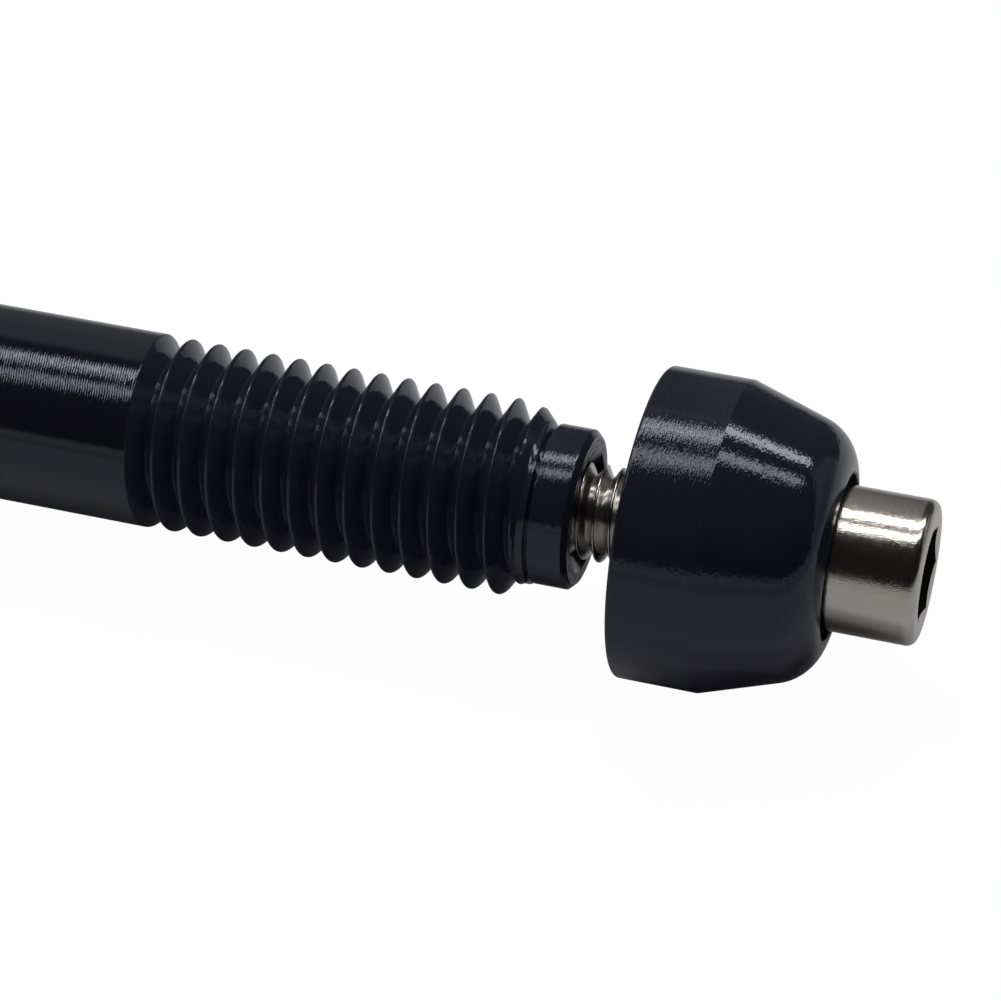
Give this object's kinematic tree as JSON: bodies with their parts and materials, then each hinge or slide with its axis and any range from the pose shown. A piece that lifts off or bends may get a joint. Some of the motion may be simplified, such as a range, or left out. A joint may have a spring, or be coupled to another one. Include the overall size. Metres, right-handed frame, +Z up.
{
  "type": "bicycle thru axle with end cone",
  "caption": "Black turned thru axle with a coarse thread, a plain pilot and a loose end cone that a socket cap screw draws onto its tip.",
  "frame": {"origin": "on the axle's axis, in the plane of the seat under its head", "axes": "+X along the axle from the head to the threaded end, +Z up, as it lies across a bicycle frame"},
  "size_m": [0.2028, 0.019, 0.019],
  "materials": {
    "black_anodised": "black anodised over fine turning marks",
    "stainless": "bright turned stainless"
  },
  "bodies": {
    "axle": {"axle": "black_anodised"},
    "cone": {"end_cone": "black_anodised"},
    "screw": {"cap_screw": "stainless"}
  },
  "joints": [
    {"name": "cone_slide", "type": "slide", "parent": "axle", "child": "cone", "axis": [1, 0, 0], "range_m": [-0.0061, 0.0042]},
    {"name": "screw_turn", "type": "hinge", "parent": "cone", "child": "screw", "pos_m": [0.18882, 0, 0], "axis": [1, 0, 0], "range_deg": [-2230, 1575]}
  ],
  "couplings": [
    {"joint": "screw_turn", "follows": "cone_slide", "rad_per_m": 6283.2}
  ]
}
